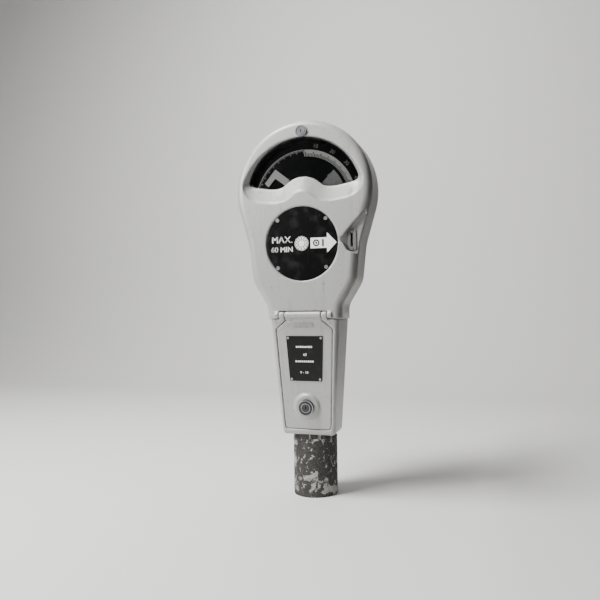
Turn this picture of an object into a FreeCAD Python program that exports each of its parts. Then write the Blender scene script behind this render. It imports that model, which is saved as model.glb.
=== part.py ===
import FreeCAD, Part
import math
import os

# Parking meter head on a post stub.  Millimetres; +Z up, front faces -Y,
# origin at the centre of the post stub's lower end.

V = FreeCAD.Vector

# ---- driving sizes ---------------------------------------------------------
POST_R, POST_WALL, POST_TOP = 30.15, 3.6, 92.0      # 60.3 mm standard tube
NECK_R, NECK_Z = 28.8, 79.0                        # its top, turned down to fit the head's socket

BASE_Z, DECK_Z = 81.0, 240.5                        # lower housing, bottom and top
BASE_W, DECK_W = 36.1, 46.6                         # its half widths there
BASE_F, DECK_F = 34.2, 49.5                         # how far its front stands forward
BASE_B, DECK_B = 33.0, 36.0                         # how far its back stands back
CASE_WALL = 5.0
FLOOR_Z = 101.0                                     # floor above the post socket

DOOR_Z0, DOOR_Z1 = 93.3, 238.5
DOOR_W0, DOOR_W1 = 31.4, 38.6                       # half widths, bottom and top
DOOR_T = 4.5
DOOR_CHAMFER_X, DOOR_CHAMFER_Z = 13.4, 11.0
DOOR_SINK = 1.0                                     # door face behind the housing rim
TILT = math.degrees(math.atan((DECK_F - BASE_F) / (DECK_Z - BASE_Z)))

HINGE_Y, HINGE_Z = -51.0, 246.4
BARREL_R, PIN_R, RUN = 4.5, 2.2, 0.05
KNUCKLE_DOOR, KNUCKLE_CASE, KNUCKLE_COVER = 24.95, 33.0, 39.0

COVER_Z, SHELL_Z = 241.5, 240.5                     # lower edges of the two upper parts
PART_Y = -41.0                                      # parting plane of the head
SHELL_WALL = 4.5
SHELL_BACK, SHELL_STRAIGHT = 42.0, -5.0
BACK_INSET = 36.0
DOME_Z, DOME_R = 412.0, 93.0
WAIST_W, SHOULDER_W, SHOULDER_Z = 50.5, 75.9, 340.5

DISC_Z, DISC_R, DISC_Y, DISC_T = 340.2, 48.5, -52.4, 1.5
TOP_LOCK_Z = 488.6
DIAL_Z, DIAL_Y = 397.0, -34.5
SLOT_X, SLOT_Z = 66.0, 343.0


# ---- small helpers ---------------------------------------------------------
def box(x0, x1, y0, y1, z0, z1):
    return Part.makeBox(x1 - x0, y1 - y0, z1 - z0, V(x0, y0, z0))


def rod(axis, a, b, r, lo, hi):
    """Cylinder along one axis from lo to hi; a and b are the other two coordinates."""
    at, way = {"x": (V(lo, a, b), V(1, 0, 0)),
               "y": (V(a, lo, b), V(0, 1, 0)),
               "z": (V(a, b, lo), V(0, 0, 1))}[axis]
    return Part.makeCylinder(r, hi - lo, at, way)


def fuse(*shapes):
    flat = []
    for s in shapes:
        flat += list(s) if isinstance(s, (list, tuple)) else [s]
    if len(flat) == 1:
        return flat[0]
    return flat[0].fuse(flat[1:]).removeSplitter()


def cut(a, *tools):
    flat = []
    for s in tools:
        flat += list(s) if isinstance(s, (list, tuple)) else [s]
    return a.cut(flat)


def one(shape):
    """The largest solid of a result."""
    return max(shape.Solids, key=lambda s: s.Volume)


def group(shapes):
    return Part.makeCompound([s for t in shapes for s in t.Solids])


def place(plane, h, a, b):
    return {"y": V(a, h, b), "z": V(a, b, h), "x": V(h, a, b)}[plane]


def loop(points, plane, h):
    """Closed wire of straight runs whose corners carry the radius given as third value."""
    n, runs = len(points), []
    for i in range(n):
        (a, b, r), p, q = points[i], points[i - 1], points[(i + 1) % n]
        here = V(a, b, 0)
        if not r:
            runs.append((here, None, here))
            continue
        u = (V(p[0], p[1], 0) - here).normalize()
        w = (V(q[0], q[1], 0) - here).normalize()
        half = u.getAngle(w) / 2
        away = r / math.tan(half)
        mid = here + (u + w).normalize() * (r / math.sin(half) - r)
        runs.append((here + u * away, mid, here + w * away))
    to = lambda v: place(plane, h, v.x, v.y)
    edges = []
    for i in range(n):
        start, mid, end = runs[i]
        if mid is not None:
            edges.append(Part.Arc(to(start), to(mid), to(end)).toShape())
        nxt = runs[(i + 1) % n][0]
        if (nxt - end).Length > 1e-6:
            edges.append(Part.LineSegment(to(end), to(nxt)).toShape())
    return Part.Wire(edges)


def slab(points, plane, lo, hi):
    """Closed outline pushed out along its plane's normal."""
    pts = [tuple(p) + (0,) * (3 - len(p)) for p in points]
    return Part.Face(loop(pts, plane, lo)).extrude(place(plane, hi - lo, 0, 0))


def sector(r0, r1, a0, a1, y0, y1, cz):
    """Ring sector on the dial; angles in degrees clockwise from twelve o'clock."""
    at = lambda r, a: V(r * math.sin(math.radians(a)), y0, cz + r * math.cos(math.radians(a)))
    m = (a0 + a1) / 2
    edges = [Part.Arc(at(r1, a0), at(r1, m), at(r1, a1)).toShape(),
             Part.LineSegment(at(r1, a1), at(r0, a1)).toShape(),
             Part.Arc(at(r0, a1), at(r0, m), at(r0, a0)).toShape(),
             Part.LineSegment(at(r0, a0), at(r1, a0)).toShape()]
    return Part.Face(Part.Wire(edges)).extrude(V(0, y1 - y0, 0))


def on_door(shape):
    """Set a shape drawn upright (face at y=0, foot at z=0) onto the sloping door plane."""
    s = shape.copy()
    s.rotate(V(0, 0, 0), V(1, 0, 0), TILT)
    s.translate(V(0, -(front_at(DOOR_Z0) - DOOR_SINK), DOOR_Z0))
    return s


def screw_y(x, z, head_y, head_r, head_h, shank_r, length, slot=True):
    """Pan screw driven in from the front; head_y is the seat under its head."""
    s = fuse(rod("y", x, z, head_r, head_y - head_h, head_y), rod("y", x, z, shank_r, head_y, head_y + length))
    if slot:
        s = cut(s, box(x - head_r, x + head_r, head_y - head_h - 0.1, head_y - head_h * 0.5, z - 0.35, z + 0.35))
    return s


# ---- lower housing ---------------------------------------------------------
def frac(z):
    return (z - BASE_Z) / (DECK_Z - BASE_Z)


def front_at(z):
    return BASE_F + (DECK_F - BASE_F) * frac(z)


def case_wire(z, d=0.0, front=None):
    w = BASE_W + (DECK_W - BASE_W) * frac(z) - d
    f = (front_at(z) if front is None else front) - d
    b = BASE_B + (DECK_B - BASE_B) * frac(z) - d
    return loop([(-w, -f, 5.0 if d else 6.0), (w, -f, 5.0 if d else 6.0),
                 (w, b, 31.0 - d * 0.6), (-w, b, 31.0 - d * 0.6)], "z", z)


def door_outline(grow=0.0, foot=0.0):
    """Door outline in its own plane, foot edge at z=0."""
    h = (DOOR_Z1 - DOOR_Z0) / math.cos(math.radians(TILT))
    top = DOOR_W1 + grow
    low = DOOR_W0 + grow
    return [(-low, -grow - foot, 5.0), (low, -grow - foot, 5.0),
            (top, h - DOOR_CHAMFER_Z + grow * 0.4, 2.5), (top - DOOR_CHAMFER_X, h + grow, 2.0),
            (-top + DOOR_CHAMFER_X, h + grow, 2.0), (-top, h - DOOR_CHAMFER_Z + grow * 0.4, 2.5)]


def hinge_arm(side):
    x0, x1 = KNUCKLE_DOOR + 0.2, KNUCKLE_CASE
    web = slab([(-48.9, 236.5), (-51.6, 240.4), (-55.2, 245.0), (-51.0, 246.4), (-46.8, 244.6), (-45.6, 241.0), (-44.6, 236.5)], "x", x0, x1)
    arm = cut(fuse(web, rod("x", HINGE_Y, HINGE_Z, BARREL_R, x0, x1)), rod("x", HINGE_Y, HINGE_Z, PIN_R, x0 - 1, x1 + 1))
    return arm if side > 0 else arm.mirror(V(0, 0, 0), V(1, 0, 0))


def lower_housing():
    body = Part.makeLoft([case_wire(BASE_Z), case_wire(DECK_Z)], True, True)
    corners = slab([(-BASE_W, BASE_Z, 14), (BASE_W, BASE_Z, 14), (DECK_W + 0.5, DECK_Z + 1, 0), (-DECK_W - 0.5, DECK_Z + 1, 0)], "y", -70, 60)
    foot = slab([(-60, 60, 0), (-60, 93.0, 0), (-35.75, 93.0, 0), (-35.0, 86.0, 7), (-10, BASE_Z, 0), (-10, 60, 0)], "x", -60, 60)
    body = cut(body.common(corners), foot)          # underside rises to the front and is rounded under the door
    hollow = Part.makeLoft([case_wire(FLOOR_Z, CASE_WALL), case_wire(DECK_Z - 6, CASE_WALL)], True, True)
    body = cut(body, hollow)
    # rebate the door lies in, and the smaller mouth behind its lip
    rebate = on_door(slab(door_outline(0.6), "y", -6, DOOR_T + 0.3))
    mouth_pts = door_outline(-3.6)
    mouth = on_door(slab([(x, max(z, 6.6), min(r, 3.0)) for x, z, r in mouth_pts], "y", -6, 24))
    body = cut(body, rebate, mouth)
    lip = on_door(slab(door_outline(4.0), "y", DOOR_T + 0.3, DOOR_T + 4.0))
    lip = cut(lip.common(Part.makeLoft([case_wire(BASE_Z), case_wire(DECK_Z)], True, True)), mouth)
    body = fuse(body, one(lip))
    body = cut(body,
               rod("z", 0, 0, NECK_R, BASE_Z - 2, POST_TOP),
               box(-25.7, 25.7, -60, -42.4, 235.0, 243),
               box(-18, 22, -8, 20, DECK_Z - 8, DECK_Z + 1))                # coin passage through the deck
    for a in (90, 210, 330):
        c = V(math.cos(math.radians(a)), math.sin(math.radians(a)), 0)
        body = cut(body, Part.makeCylinder(2.5, 30, V(0, 0, 87) + c * (POST_R - 4), c))
    for x, y in SHELL_SCREWS:
        body = cut(body, rod("z", x, y, 2.4, DECK_Z - 6, DECK_Z + 1))
    return one(cut(fuse(body, hinge_arm(1), hinge_arm(-1)), rebate))


def post_stub():
    tube = cut(fuse(rod("z", 0, 0, POST_R, 0, NECK_Z), rod("z", 0, 0, NECK_R, NECK_Z - 1, POST_TOP)),
               rod("z", 0, 0, POST_R - POST_WALL, -1, POST_TOP + 1))
    for a in (90, 210, 330):
        c = V(math.cos(math.radians(a)), math.sin(math.radians(a)), 0)
        tube = cut(tube, Part.makeCylinder(2.5, 12, V(0, 0, 87) + c * (POST_R - 6), c))
    return one(tube)


def post_set_screws():
    out = []
    for a, reach in ((90, 31.2), (210, 33.0), (330, 33.0)):
        c = V(math.cos(math.radians(a)), math.sin(math.radians(a)), 0)
        s = Part.makeCylinder(2.5, reach - 26.6, V(0, 0, 87) + c * 26.6, c)
        socket = Part.makeCylinder(1.3, 3, V(0, 0, 87) + c * (reach - 2.2), c)
        out.append(s.cut(socket))
    return group(out)


SHELL_SCREWS = [(-32, -30), (32, -30), (-26, 22), (26, 22)]


def shell_screws():
    out = []
    for x, y in SHELL_SCREWS:
        s = fuse(rod("z", x, y, 2.4, DECK_Z - 6, SHELL_Z + 5), rod("z", x, y, 4.2, SHELL_Z + 5, SHELL_Z + 8))
        out.append(cut(s, rod("z", x, y, 2.0, SHELL_Z + 6.2, SHELL_Z + 9)))
    return group(out)


def hinge_pin():
    return rod("x", HINGE_Y, HINGE_Z, PIN_R, -KNUCKLE_COVER + 0.4, KNUCKLE_COVER - 0.4)


# ---- cash door -------------------------------------------------------------
LOCK_ZL = 30.6                                      # lock centre above the door's foot
LOCK_FACE = -8.2


def cash_door():
    plate = slab(door_outline(0.0), "y", 0, DOOR_T)
    pan = slab([(x * 0.86, 6 + z * 0.90, 3) for x, z, r in door_outline(0.0)], "y", 2.8, DOOR_T + 1)
    plate = cut(plate, pan)
    ribs = [box(-29, 29, 2.6, DOOR_T, 60, 62.5), box(-31, 31, 2.6, DOOR_T, 110, 112.5),
            rod("y", 0, LOCK_ZL, 16, 0, DOOR_T)]
    boss = Part.makeCone(15.6, 18.6, 3.4, V(0, -3.4, LOCK_ZL), V(0, 1, 0))
    plate = fuse(plate, ribs, boss)
    plate = cut(plate, rod("y", 0, LOCK_ZL, 8.6, -10, 10))
    for x, z in INFO_RIVETS:
        plate = cut(plate, rod("y", x, z, 0.9, -1, 10))
    for x, z in NUMBER_RIVETS:
        plate = cut(plate, rod("y", x, z, 0.6, -1, 10))
    door = on_door(plate)
    x = KNUCKLE_DOOR
    neck = slab([(-48.0, 237.0), (-50.6, 240.4), (-55.0, 244.5), (-51.0, 246.4), (-46.8, 244.6), (-45.3, 240.6), (-43.9, 237.0)], "x", -x, x)
    door = fuse(door, neck, rod("x", HINGE_Y, HINGE_Z, BARREL_R, -x, x))
    return one(cut(door, rod("x", HINGE_Y, HINGE_Z, PIN_R + RUN, -x - 1, x + 1)))


INFO_Z0, INFO_Z1, INFO_W0, INFO_W1 = 65.4, 125.8, 22.2, 25.4
INFO_RIVETS = [(-19.6, 68.0), (19.6, 68.0), (-22.8, 123.2), (22.8, 123.2)]
NUMBER_RIVETS = [(-11.2, 140.3), (11.2, 140.3)]


def info_plate():
    p = slab([(-INFO_W0, INFO_Z0, 1), (INFO_W0, INFO_Z0, 1), (INFO_W1, INFO_Z1, 1), (-INFO_W1, INFO_Z1, 1)], "y", -0.8, 0)
    return one(on_door(cut(p, [rod("y", x, z, 0.9, -2, 1) for x, z in INFO_RIVETS])))


def rivets(points, r, under, head):
    return group([on_door(fuse(rod("y", x, z, r, under, 2.8), rod("y", x, z, head, under - 0.7, under))) for x, z in points])


def number_plate():
    p = box(-12.8, 12.8, -0.6, 0, 137.1, 143.4)
    return one(on_door(cut(p, [rod("y", x, z, 0.6, -2, 1) for x, z in NUMBER_RIVETS])))


def door_lock_barrel():
    s = fuse(rod("y", 0, LOCK_ZL, 10.5, LOCK_FACE, -3.4), rod("y", 0, LOCK_ZL, 8.6, -3.4, DOOR_T + 4.2))
    ring = cut(rod("y", 0, LOCK_ZL, 8.9, LOCK_FACE - 1, LOCK_FACE + 0.9), rod("y", 0, LOCK_ZL, 7.6, LOCK_FACE - 2, LOCK_FACE + 2))
    s = cut(s, ring, rod("y", 0, LOCK_ZL, 5.0 + RUN, LOCK_FACE - 1, 20))
    return one(on_door(s))


def door_lock_nut():
    pts = [(12.2 * math.cos(math.radians(60 * k)), LOCK_ZL + 12.2 * math.sin(math.radians(60 * k)), 0) for k in range(6)]
    return one(on_door(cut(slab(pts, "y", DOOR_T, DOOR_T + 3.6), rod("y", 0, LOCK_ZL, 8.6, 0, 20))))


def door_lock_plug():
    s = fuse(rod("y", 0, LOCK_ZL, 5.0, LOCK_FACE + 0.5, DOOR_T + 4.6), rod("y", 0, LOCK_ZL, 3.0, DOOR_T + 4.6, DOOR_T + 7.2))
    s = cut(s, box(-0.6, 0.6, LOCK_FACE, LOCK_FACE + 8, LOCK_ZL - 2.6, LOCK_ZL + 2.6))
    return one(on_door(s))


def door_lock_cam():
    s = slab([(-5, LOCK_ZL - 5, 4.9), (5, LOCK_ZL - 5, 4.9), (5, LOCK_ZL + 32.6, 3), (-5, LOCK_ZL + 32.6, 3)], "y", DOOR_T + 4.6, DOOR_T + 6.6)
    return one(on_door(cut(s, rod("y", 0, LOCK_ZL, 3.0, 0, 20))))


# ---- cash box --------------------------------------------------------------
BOX_Z0, BOX_Z1, BOX_W, BOX_F, BOX_B = 101.3, 176.0, 25.5, -7.0, 22.0


def cash_box():
    plan = lambda d: [(-BOX_W + d, BOX_F + d, 3), (BOX_W - d, BOX_F + d, 3), (BOX_W - d, BOX_B - d, 15 - d), (-BOX_W + d, BOX_B - d, 15 - d)]
    return one(cut(slab(plan(0), "z", BOX_Z0, BOX_Z1), slab(plan(1.6), "z", BOX_Z0 + 1.6, BOX_Z1 + 1)))


def cash_box_lid():
    plan = [(-BOX_W, BOX_F, 3), (BOX_W, BOX_F, 3), (BOX_W, BOX_B, 15), (-BOX_W, BOX_B, 15)]
    return one(cut(slab(plan, "z", BOX_Z1, BOX_Z1 + 2.0), box(-14, 18, -3, 14, BOX_Z1 - 1, BOX_Z1 + 3)))


def cash_box_handle():
    loop_ = cut(rod("y", 0, 152, 9, BOX_F - 4.5, BOX_F - 2.5), rod("y", 0, 152, 6.4, BOX_F - 6, BOX_F))
    ears = [box(-10.5, -6.5, BOX_F - 4.5, BOX_F, 149.5, 154.5), box(6.5, 10.5, BOX_F - 4.5, BOX_F, 149.5, 154.5)]
    return one(fuse(cut(loop_, box(-12, 12, BOX_F - 6, BOX_F, 152.5, 170)), ears))


# ---- head envelope ---------------------------------------------------------
def head_wire(d, y, zb):
    """Front outline of the head, set in by d, lying in the plane y."""
    R = DOME_R - d
    sx, sz = SHOULDER_W - d, SHOULDER_Z
    D = math.hypot(sx, sz - DOME_Z)
    a = math.atan2(sz - DOME_Z, sx) + math.acos(R / D)
    tx, tz = R * math.cos(a), DOME_Z + R * math.sin(a)
    side = [(WAIST_W - d, zb, 0), (WAIST_W - d, 258, 25), (WAIST_W + 20 - d, 291, 30), (sx, sz, 90), (tx, tz, 0)]
    edges = []
    for sgn in (1, -1):
        cur = V(sgn * side[0][0], y, side[0][1])
        for i in range(1, len(side)):
            x, z, r = sgn * side[i][0], side[i][1], side[i][2]
            here = V(x, y, z)
            if not r:
                edges.append(Part.LineSegment(cur, here).toShape())
                continue
            u = (V(sgn * side[i - 1][0], y, side[i - 1][1]) - here).normalize()
            w = (V(sgn * side[i + 1][0], y, side[i + 1][1]) - here).normalize()
            half = u.getAngle(w) / 2
            p, q = here + u * (r / math.tan(half)), here + w * (r / math.tan(half))
            m = here + (u + w).normalize() * (r / math.sin(half) - r)
            edges += [Part.LineSegment(cur, p).toShape(), Part.Arc(p, m, q).toShape()]
            cur = q
    edges.append(Part.Arc(V(tx, y, tz), V(0, y, DOME_Z + R), V(-tx, y, tz)).toShape())
    edges.append(Part.LineSegment(V(d - WAIST_W, y, zb), V(WAIST_W - d, y, zb)).toShape())
    return Part.Wire(Part.__sortEdges__(edges))


def face_block(back, x=120):
    """Everything behind the gently crowned face, the face moved back by the given amount."""
    lo, mid, hi = V(-x, -51.5 + back, 241), V(-x, -54 + back, 345), V(-x, -46 + back, 505)
    corners = [hi, V(-x, -46 + back, 520), V(-x, 60, 520), V(-x, 60, 225), V(-x, -51.5 + back, 225), lo]
    edges = [Part.Arc(lo, mid, hi).toShape()]
    edges += [Part.LineSegment(corners[i], corners[i + 1]).toShape() for i in range(5)]
    return Part.Face(Part.Wire(Part.__sortEdges__(edges))).extrude(V(2 * x, 0, 0))


def rounded_head(zb, r=9.8):
    """Head block down to the straight part of the shell, its front edge rounded."""
    body = Part.Face(head_wire(0, -60, zb)).extrude(V(0, 60 + SHELL_STRAIGHT, 0)).common(face_block(0))
    rim = [e for e in body.Edges if e.BoundBox.YMax < -20 and e.BoundBox.ZMax - zb > 2]
    return body.makeFillet(r, rim)


def cover_envelope():
    return rounded_head(COVER_Z).common(box(-120, 120, -80, PART_Y - 0.3, 200, 520))


def window_wire(points, grow, y):
    """Window outline: one arc over the top, one smooth curve along the sill."""
    (ex, ez), top = points[0], points[1]
    s = 1 + grow / 80.0
    k = lambda x, z: V(x * s, y, z - grow)
    right = [k(x, z) for x, z in points[2]]
    left = [V(-p.x, y, p.z) for p in reversed(right[:-1])]
    a, b = V(ex + grow, y, ez - grow * 0.3), V(-ex - grow, y, ez - grow * 0.3)
    arc = Part.Arc(a, V(0, y, top + grow), b).toShape()
    sill = Part.BSplineCurve()
    sill.interpolate([a] + right + left + [b])
    return Part.Wire([arc, sill.toShape()])


INNER = ((75.0, 427.0), 481.5, [(73.4, 421.6), (66.0, 418.9), (52.0, 416.4), (38.0, 415.0), (29.0, 416.8), (21.0, 422.4), (12.0, 427.4), (0.0, 429.8)])
OUTER = ((82.0, 423.0), 482.5, [(80.6, 412.6), (73.6, 403.6), (58.0, 397.0), (37.0, 394.8), (24.5, 396.8), (15.5, 402.4), (8.5, 407.4), (0.0, 409.4)])
GLASS_Y0, GLASS_Y1 = -44.0, -41.3


def window_solid(grow, y_out, y_in):
    a, b = window_wire(OUTER, grow, y_out), window_wire(INNER, grow, y_in)
    return Part.makeLoft([a, b], True, True)


def prism(wire, y0, y1):
    return Part.Face(wire).extrude(V(0, y1 - y0, 0))


def front_cover():
    env = cover_envelope()
    back = PART_Y - 0.3
    hollow = Part.Face(head_wire(5.0, -60, COVER_Z + 14)).extrude(V(0, 61 + back, 0)).common(face_block(6.5))
    shell = cut(env, hollow)
    frame = window_solid(8.0, -51.0, -44.0)
    frame = fuse(frame, prism(window_wire(OUTER, 8.0, -60), -60, -51), prism(window_wire(INNER, 8.0, -44), -44, back)).common(env)
    boss = rod("y", 0, TOP_LOCK_Z, 9.5, -52, back).common(env)
    coin_boss = slab([(50, 316, 0), (90, 316, 0), (90, 384, 0), (50, 366, 0)], "y", -52, back).common(env)
    body = fuse(shell, frame, boss, coin_boss)
    # window
    body = cut(body, fuse(window_solid(0, -51.0, GLASS_Y0), prism(window_wire(OUTER, 0, -62), -62, -51)),
               prism(window_wire(INNER, 0, GLASS_Y0 - 0.01), GLASS_Y0 - 0.01, back + 1),
               prism(window_wire(INNER, 2.2, GLASS_Y0), GLASS_Y0, back + 1))
    # disc recess, screw holes
    body = cut(body, rod("y", 0, DISC_Z, DISC_R + 0.8, -62, DISC_Y + DISC_T),
               [rod("y", x, z, 1.5, -60, back + 1) for x, z in DISC_SCREWS])
    # coin scoop running into the right front edge
    wedge = slab([(44, -54.2), (52, -52.0), (62, -45.6), (95, -45.6), (95, -64), (44, -64)], "z", 300, 400)
    shape = slab([(44, 340.4, 0), (55, 339.6, 4), (61.0, 329.2, 4), (86, 320.0, 0), (86, 382, 0), (64, 358.4, 6), (55, 347.6, 3), (44, 347.6, 0)], "y", -64, -44)
    body = cut(body, wedge.common(shape), slot_plate_block(0.1), box(SLOT_X - 1.7, SLOT_X + 1.7, -60, back + 1, SLOT_Z - 9, SLOT_Z + 9),
               [rod("y", SLOT_X, z, 1.0, -46, back + 1) for z in SLOT_SCREWS])
    # top lock
    body = cut(body, rod("y", 0, TOP_LOCK_Z, 7.5, -60, -46.5), rod("y", 0, TOP_LOCK_Z, 4.2, -60, back + 1))
    body = cut(body, [rod("y", x, z, 1.2, GLASS_Y1 - 1.6, back + 1) for x, z in RETAINER_SCREWS])
    # hinge groove, door neck space and the round heel that clears the shell
    heel = fuse(box(-120, 120, -70, 0, HINGE_Z, 600), rod("x", HINGE_Y, HINGE_Z, 9.6, -60, 60))
    body = body.common(heel)
    body = cut(body, rod("x", HINGE_Y, HINGE_Z, 5.4, -KNUCKLE_COVER - 0.25, KNUCKLE_COVER + 0.25),
               box(-KNUCKLE_CASE - 0.15, KNUCKLE_CASE + 0.15, -60, -45.3, 230, HINGE_Z + 0.5))
    ears = []
    for s in (1, -1):
        x0, x1 = sorted((s * (KNUCKLE_CASE + 0.2), s * KNUCKLE_COVER))
        ears += [rod("x", HINGE_Y, HINGE_Z, BARREL_R, x0, x1), box(x0, x1, HINGE_Y, -44.0, HINGE_Z - 3.2, HINGE_Z + 2.6),
                 box(min(s * 38.5, s * 41), max(s * 38.5, s * 41), -50.5, -44, HINGE_Z - 3.2, HINGE_Z + 2.6)]
    body = fuse(body, ears)
    return one(cut(body, rod("x", HINGE_Y, HINGE_Z, PIN_R + RUN, -KNUCKLE_COVER + 0.2, KNUCKLE_COVER - 0.2)))


def front_glass():
    return one(prism(window_wire(INNER, 2.1, GLASS_Y0), GLASS_Y0, GLASS_Y1))


RETAINER_SCREWS = [(-60, 412.2), (60, 412.2), (-36, 409.0), (36, 409.0), (-64.0, 454.5), (64.0, 454.5)]


def glass_retainer():
    s = cut(prism(window_wire(INNER, 7.6, GLASS_Y1), GLASS_Y1, GLASS_Y1 + 1.2), prism(window_wire(INNER, -0.6, GLASS_Y1 - 1), GLASS_Y1 - 1, GLASS_Y1 + 3))
    return one(cut(s, rod("y", 0, TOP_LOCK_Z, 8.6, -60, 0), [rod("y", x, z, 1.2, -60, 0) for x, z in RETAINER_SCREWS]))


def retainer_screws():
    out = []
    for x, z in RETAINER_SCREWS:
        out.append(fuse(rod("y", x, z, 1.2, GLASS_Y1 - 1.6, GLASS_Y1 + 1.2), rod("y", x, z, 2.2, GLASS_Y1 + 1.2, GLASS_Y1 + 2.2)))
    return group(out)


DISC_SCREWS = [(-33.0, DISC_Z - 31.6), (33.0, DISC_Z - 31.6), (-33.0, DISC_Z + 31.6), (33.0, DISC_Z + 31.6)]


def instruction_disc():
    return one(cut(rod("y", 0, DISC_Z, DISC_R, DISC_Y, DISC_Y + DISC_T), [rod("y", x, z, 1.5, -60, 0) for x, z in DISC_SCREWS]))


def disc_screws():
    return group([screw_y(x, z, DISC_Y, 2.5, 1.1, 1.5, 5.5) for x, z in DISC_SCREWS])


def centre_badge():
    s = rod("y", 0, DISC_Z, 9.5, DISC_Y - 0.8, DISC_Y)
    return one(cut(s, cut(rod("y", 0, DISC_Z, 7.6, DISC_Y - 2, DISC_Y - 0.5), rod("y", 0, DISC_Z, 7.0, DISC_Y - 2, DISC_Y))))


def direction_arrow():
    pts = [(12.2, 6.85), (34.5, 6.85), (34.5, 13.2), (47.3, 0), (34.5, -13.2), (34.5, -6.85), (12.2, -6.85)]
    return one(slab([(x, DISC_Z + z, 0.4) for x, z in pts], "y", DISC_Y - 0.5, DISC_Y))


SLOT_SCREWS = (SLOT_Z - 11.2, SLOT_Z + 11.2)


def slot_plate_block(grow):
    return slab([(SLOT_X - 5.6 - grow, SLOT_Z - 13.4 - grow, 2), (SLOT_X + 5.6 + grow, SLOT_Z - 13.4 - grow, 2),
                 (SLOT_X + 5.6 + grow, SLOT_Z + 13.4 + grow, 2), (SLOT_X - 5.6 - grow, SLOT_Z + 13.4 + grow, 2)], "y", -47.4, -44.6)


def coin_slot_plate():
    s = cut(slot_plate_block(0), box(SLOT_X - 1.5, SLOT_X + 1.5, -60, 0, SLOT_Z - 8.8, SLOT_Z + 8.8),
            [rod("y", SLOT_X, z, 1.0, -60, 0) for z in SLOT_SCREWS])
    return one(s)


def slot_plate_screws():
    return group([screw_y(SLOT_X, z, -47.4, 1.9, 0.9, 1.0, 5.2) for z in SLOT_SCREWS])


def cover_lock_barrel():
    s = fuse(rod("y", 0, TOP_LOCK_Z, 7.5, -50.2, -46.5), rod("y", 0, TOP_LOCK_Z, 4.2, -46.5, -38.4))
    groove = cut(rod("y", 0, TOP_LOCK_Z, 6.3, -52, -49.6), rod("y", 0, TOP_LOCK_Z, 5.4, -53, -48))
    return one(cut(s, groove, rod("y", 0, TOP_LOCK_Z, 3.0 + RUN, -60, 0)))


def cover_lock_nut():
    pts = [(7.2 * math.cos(math.radians(60 * k)), TOP_LOCK_Z + 7.2 * math.sin(math.radians(60 * k)), 0) for k in range(6)]
    return one(cut(slab(pts, "y", PART_Y - 0.3, PART_Y + 2.2), rod("y", 0, TOP_LOCK_Z, 4.2, -60, 0)))


def cover_lock_plug():
    s = fuse(rod("y", 0, TOP_LOCK_Z, 3.0, -50.0, -38.2), rod("y", 0, TOP_LOCK_Z, 2.0, -38.2, -35.8))
    return one(cut(s, box(-0.5, 0.5, -51, -43, TOP_LOCK_Z - 1.8, TOP_LOCK_Z + 1.8)))


def cover_lock_cam():
    z = TOP_LOCK_Z
    s = slab([(-3.4, z - 3.4, 3.3), (11.0, z - 3.4, 3.3), (11.0, z + 3.4, 3.3), (-3.4, z + 3.4, 3.3)], "y", -38.2, -36.4)
    return one(cut(s, rod("y", 0, z, 2.0, -60, 0)))


# ---- rear shell ------------------------------------------------------------
REAR_WINDOW_R = 33.0
MOUNTS = [(-30, 347), (30, 347), (-34, 430), (34, 430)]


def shell_body(d, y_front, zb):
    if d:
        straight = Part.Face(head_wire(d, y_front, zb)).extrude(V(0, SHELL_STRAIGHT - y_front, 0))
    else:
        straight = rounded_head(zb).cut(box(-130, 130, -90, y_front, 190, 530))
    deep = SHELL_BACK - d * 0.55 - SHELL_STRAIGHT
    rings = []
    for k in range(6):
        t = math.radians(18 * k)
        rings.append(head_wire(d + BACK_INSET * (1 - math.cos(t)), SHELL_STRAIGHT + deep * math.sin(t), zb))
    return straight.fuse(Part.makeLoft(rings, True, False)).removeSplitter()


def rear_shell():
    body = shell_body(0, PART_Y, SHELL_Z)
    body = cut(body, shell_body(SHELL_WALL, PART_Y - 1, SHELL_Z + 5))
    lug = box(-6, 6, PART_Y, -38.6, 496.2, 502)
    posts = [rod("y", x, z, 5, 9, SHELL_BACK - 1) for x, z in MOUNTS]
    body = fuse(body, lug, posts)
    body = cut(body, [rod("y", x, z, 2.0, 0, 24) for x, z in MOUNTS],
               rod("y", 0, DOME_Z, REAR_WINDOW_R, 20, 60), rod("y", 0, DOME_Z, REAR_WINDOW_R + 4, 40, 60),
               box(-18, 22, -8, 20, SHELL_Z - 1, SHELL_Z + 6),
               [rod("z", x, y, 2.4, SHELL_Z - 1, SHELL_Z + 6) for x, y in SHELL_SCREWS],
               [rod("y", x, z, 1.2, 36, 60) for x, z in RING_SCREWS])
    return one(body)


RING_SCREWS = [((REAR_WINDOW_R + 2) * math.cos(math.radians(a)), DOME_Z + (REAR_WINDOW_R + 2) * math.sin(math.radians(a))) for a in (45, 135, 225, 315)]


def rear_glass():
    return rod("y", 0, DOME_Z, REAR_WINDOW_R, 37.0, 40.0)


def rear_glass_ring():
    s = cut(rod("y", 0, DOME_Z, REAR_WINDOW_R + 4, 40, 42.6), rod("y", 0, DOME_Z, REAR_WINDOW_R - 3, 0, 60))
    return one(cut(s, [rod("y", x, z, 1.2, 36, 60) for x, z in RING_SCREWS]))


def rear_ring_screws():
    return group([fuse(rod("y", x, z, 1.2, 37.5, 42.6), rod("y", x, z, 2.0, 42.6, 43.5)) for x, z in RING_SCREWS])


# ---- movement --------------------------------------------------------------
PLATE_F, PLATE_B, PLATE_T = -24.0, 7.0, 2.0
MID_X, MID_Z = 0.0, 0.0
MODULE, BIG, SMALL = 1.0, 48, 16
GAP = 0.25                                          # extra centre distance for running play


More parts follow.
